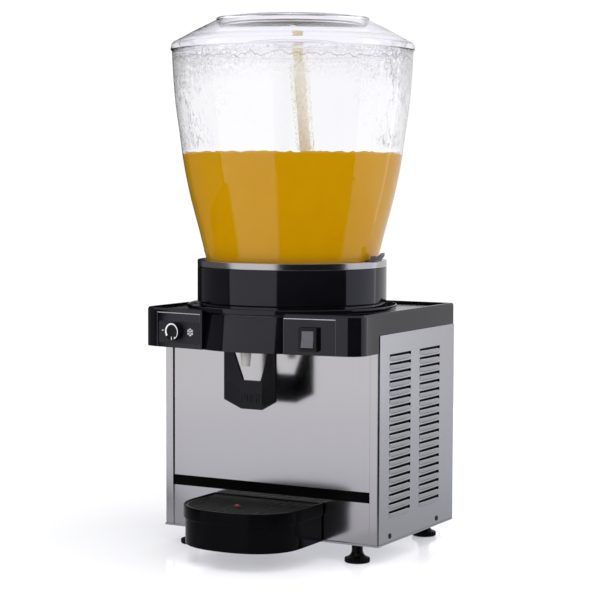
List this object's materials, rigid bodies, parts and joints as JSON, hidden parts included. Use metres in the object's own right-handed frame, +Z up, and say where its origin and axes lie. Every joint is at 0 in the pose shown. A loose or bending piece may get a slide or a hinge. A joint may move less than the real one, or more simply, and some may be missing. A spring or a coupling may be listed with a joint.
{
  "type": "cold drink dispenser",
  "caption": "Countertop cooled drink dispenser: clear flared bowl with spray tube over a louvred steel casing, black housing, push-lever tap and drip tray.",
  "frame": {"origin": "middle of the whole object's outline, on the surface that it stands on", "axes": "+X to the right seen from the front, +Y to the back, +Z up; the tap faces -Y"},
  "size_m": [0.3348, 0.37, 0.7214],
  "materials": {
    "stainless": "brushed stainless sheet",
    "galvanised": "matt galvanised sheet",
    "gloss_black": "glossy black moulding",
    "matt_black": "satin black moulding",
    "stripe_black": "smooth black stripe",
    "label_grey": "printed charcoal label",
    "rocker_grey": "grey moulding",
    "clear_plastic": "clear polycarbonate",
    "pale_plastic": "off-white moulding",
    "seal_grey": "soft seal",
    "foam_white": "rigid foam",
    "copper_pipe": "bare copper",
    "pot_black": "black paint",
    "float_red": "dark red moulding",
    "clip_grey": "grey moulding",
    "fan_grey": "dark grey moulding",
    "screw_dark": "dark screw",
    "magnet_grey": "bare magnet",
    "condenser_alu": "matt fins"
  },
  "bodies": {
    "casing": {"base_pan": "galvanised", "front_post_left": "stainless", "front_post_right": "stainless", "front_panel": "stainless", "front_stripe": "stripe_black", "side_panel_left": "stainless", "side_panel_right": "stainless", "rear_panel": "galvanised", "top_housing": "gloss_black", "apron_floor": "matt_black", "top_deck": "stainless", "seat_ring": "gloss_black", "collar": "gloss_black", "insulation": "foam_white", "evaporator_dish": "stainless", "evaporator_coil": "copper_pipe", "drive_motor": "pot_black", "motor_bracket": "galvanised", "compressor": "pot_black", "condenser": "condenser_alu", "fan_shroud": "galvanised", "fan_motor": "pot_black", "filter_drier": "copper_pipe", "discharge_pipe": "copper_pipe", "suction_pipe": "copper_pipe", "capillary": "copper_pipe", "tap_body": "pale_plastic", "nozzle": "pale_plastic", "plunger_spring": "stainless", "feed_pipe": "pale_plastic", "control_label": "label_grey", "thermostat_body": "galvanised", "switch_bezel": "matt_black", "tray_bracket": "stainless", "cord_gland": "matt_black", "side_screw_front_left": "screw_dark", "side_screw_rear_left": "screw_dark", "side_screw_front_right": "screw_dark", "side_screw_rear_right": "screw_dark"},
    "bowl": {"bowl": "clear_plastic", "bowl_gasket": "seal_grey"},
    "lid": {"lid": "clear_plastic"},
    "latch_left": {"bowl_latch_left": "clip_grey"},
    "latch_right": {"bowl_latch_right": "clip_grey"},
    "pump_cover": {"pump_cover": "pale_plastic"},
    "spray_tube": {"spray_tube": "clear_plastic"},
    "impeller": {"impeller": "pale_plastic"},
    "drive_magnet": {"drive_magnet": "magnet_grey"},
    "fan_wheel": {"fan_wheel": "fan_grey"},
    "tap_lever": {"tap_lever": "gloss_black"},
    "valve_plunger": {"valve_plunger": "clip_grey"},
    "thermostat_knob": {"thermostat_knob": "gloss_black"},
    "switch_rocker": {"switch_rocker": "rocker_grey"},
    "drip_tray": {"drip_tray": "gloss_black"},
    "drip_grid": {"drip_grid": "matt_black"},
    "tray_float": {"tray_float": "float_red"},
    "foot_front_left": {"foot_front_left": "matt_black"},
    "foot_front_right": {"foot_front_right": "matt_black"},
    "foot_rear_left": {"foot_rear_left": "matt_black"},
    "foot_rear_right": {"foot_rear_right": "matt_black"}
  },
  "joints": [
    {"name": "bowl_lift", "type": "slide", "parent": "casing", "child": "bowl", "axis": [0, 0, 1], "range_m": [0, 0.28]},
    {"name": "lid_lift", "type": "slide", "parent": "bowl", "child": "lid", "axis": [0, 0, 1], "range_m": [0, 0.1]},
    {"name": "latch_left_turn", "type": "hinge", "parent": "bowl", "child": "latch_left", "pos_m": [-0.1255, 0.008, 0.4], "axis": [0, 0, 1], "range_deg": [0, 90]},
    {"name": "latch_right_turn", "type": "hinge", "parent": "bowl", "child": "latch_right", "pos_m": [0.1255, 0.008, 0.4], "axis": [0, 0, 1], "range_deg": [0, 90]},
    {"name": "pump_cover_lift", "type": "slide", "parent": "casing", "child": "pump_cover", "axis": [0, 0, 1], "range_m": [0, 0.03]},
    {"name": "spray_tube_pull", "type": "slide", "parent": "pump_cover", "child": "spray_tube", "axis": [-0.0938, 0, 0.9956], "range_m": [0, 0.016]},
    {"name": "magnet_spin", "type": "hinge", "parent": "casing", "child": "drive_magnet", "pos_m": [0, 0.008, 0.386], "axis": [0, 0, 1], "continuous": true},
    {"name": "impeller_spin", "type": "hinge", "parent": "casing", "child": "impeller", "pos_m": [0, 0.008, 0.398], "axis": [0, 0, 1], "continuous": true},
    {"name": "fan_spin", "type": "hinge", "parent": "casing", "child": "fan_wheel", "pos_m": [0.0955, 0.063, 0.1193], "axis": [1, 0, 0], "continuous": true},
    {"name": "lever_push", "type": "hinge", "parent": "casing", "child": "tap_lever", "pos_m": [0, -0.1005, 0.2935], "axis": [1, 0, 0], "range_deg": [0, 12], "stiffness_Nm_per_rad": 1.2, "springref_deg": -11.46},
    {"name": "plunger_drop", "type": "slide", "parent": "casing", "child": "valve_plunger", "axis": [0, 0, -1], "range_m": [0, 0.0036], "deforming": ["plunger_spring"]},
    {"name": "knob_turn", "type": "hinge", "parent": "casing", "child": "thermostat_knob", "pos_m": [-0.10433, -0.11991, 0.3019], "axis": [-0.1423, -0.9898, 0], "range_deg": [-270, 0]},
    {"name": "rocker_tilt", "type": "hinge", "parent": "casing", "child": "switch_rocker", "pos_m": [0.09838, -0.12633, 0.3], "axis": [0.9898, 0.1423, 0], "range_deg": [0, 16]},
    {"name": "tray_pull", "type": "slide", "parent": "casing", "child": "drip_tray", "axis": [0, -1, 0], "range_m": [0, 0.12]},
    {"name": "grid_lift", "type": "slide", "parent": "drip_tray", "child": "drip_grid", "axis": [0, 0, 1], "range_m": [0, 0.05]},
    {"name": "float_rise", "type": "slide", "parent": "drip_tray", "child": "tray_float", "axis": [0, 0, 1], "range_m": [0, 0.008]},
    {"name": "foot_front_left_level", "type": "slide", "parent": "casing", "child": "foot_front_left", "axis": [0, 0, -1], "range_m": [0, 0.01]},
    {"name": "foot_front_right_level", "type": "slide", "parent": "casing", "child": "foot_front_right", "axis": [0, 0, -1], "range_m": [0, 0.01]},
    {"name": "foot_rear_left_level", "type": "slide", "parent": "casing", "child": "foot_rear_left", "axis": [0, 0, -1], "range_m": [0, 0.01]},
    {"name": "foot_rear_right_level", "type": "slide", "parent": "casing", "child": "foot_rear_right", "axis": [0, 0, -1], "range_m": [0, 0.01]}
  ],
  "couplings": [
    {"joint": "impeller_spin", "follows": "magnet_spin", "ratio": 1},
    {"joint": "plunger_drop", "follows": "lever_push", "m_per_rad": 0.0171}
  ]
}
